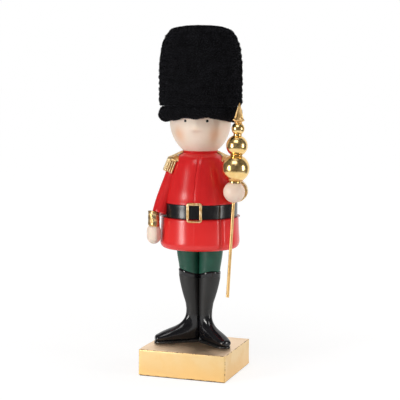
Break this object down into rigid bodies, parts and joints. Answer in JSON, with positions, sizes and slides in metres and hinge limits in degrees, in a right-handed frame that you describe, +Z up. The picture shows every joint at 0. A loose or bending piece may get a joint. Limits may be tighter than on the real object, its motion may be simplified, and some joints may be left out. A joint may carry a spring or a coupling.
{
  "type": "toy soldier figure",
  "caption": "Guardsman display figure on a gilded block, with a tall plush hat that lifts off and a ball-topped mace that turns in its fist and lifts out.",
  "frame": {"origin": "middle of the base block's underside, on the surface that the figure stands on", "axes": "+Z up, the base's front faces -Y, and the hand that holds the mace is at +X"},
  "size_m": [0.1345, 0.1176, 0.4472],
  "materials": {
    "gold_leaf": "gilded with crinkled gold leaf, worn brown at the edges",
    "felt": "dense brown felt",
    "steel": "plain bright steel",
    "boot_black": "black glaze, satin on the shafts and glossy on the feet",
    "sole_black": "dull black",
    "trouser_green": "dark green satin glaze",
    "coat_red": "bright red glaze",
    "belt_black": "high gloss black",
    "gold_paint": "gold leaf over a moulded form",
    "flesh": "pale flesh tint with blushed cheeks",
    "eye_black": "gloss black bead",
    "dowel_wood": "plain beech",
    "former": "rigid dark foam",
    "plush": "short dense black pile",
    "gold_polish": "mirror polished gold plate"
  },
  "bodies": {
    "figure": {"base_block": "gold_leaf", "felt_pad": "felt", "base_screws": "steel", "sole_right": "sole_black", "sole_left": "sole_black", "boot_right": "boot_black", "boot_left": "boot_black", "leg_rod_right": "steel", "leg_rod_left": "steel", "trouser_right": "trouser_green", "trouser_left": "trouser_green", "coat_skirt": "coat_red", "coat_body": "coat_red", "collar": "coat_red", "belt": "belt_black", "belt_buckle": "gold_paint", "sleeve_right": "coat_red", "shoulder_dowel_right": "dowel_wood", "cuff_right": "gold_paint", "wrist_dowel_right": "dowel_wood", "hand_right": "flesh", "sleeve_left": "coat_red", "shoulder_dowel_left": "dowel_wood", "cuff_left": "gold_paint", "wrist_dowel_left": "dowel_wood", "fist_left": "flesh", "epaulette_right": "gold_paint", "fringe_right": "gold_paint", "epaulette_left": "gold_paint", "fringe_left": "gold_paint", "head": "flesh", "neck_dowel": "dowel_wood", "eye_right": "eye_black", "eye_left": "eye_black"},
    "hat": {"hat_core": "former", "hat_crown": "plush", "hat_rim": "plush"},
    "collar_ring": {"mace_collar": "gold_polish"},
    "mace": {"mace_rod": "gold_polish", "mace_ball_large": "gold_polish", "mace_neck_lower": "gold_polish", "mace_ball_medium": "gold_polish", "mace_neck_upper": "gold_polish", "mace_ball_small": "gold_polish", "mace_finial": "gold_polish"}
  },
  "joints": [
    {"name": "hat_lift", "type": "slide", "parent": "figure", "child": "hat", "axis": [0, 0, 1], "range_m": [0, 0.06]},
    {"name": "mace_lift", "type": "slide", "parent": "figure", "child": "collar_ring", "axis": [0.05, 0.0177, 0.9986], "range_m": [0, 0.15]},
    {"name": "mace_spin", "type": "hinge", "parent": "collar_ring", "child": "mace", "pos_m": [0.05731, -0.01945, 0.2376], "axis": [0.05, 0.0177, 0.9986], "continuous": true}
  ]
}
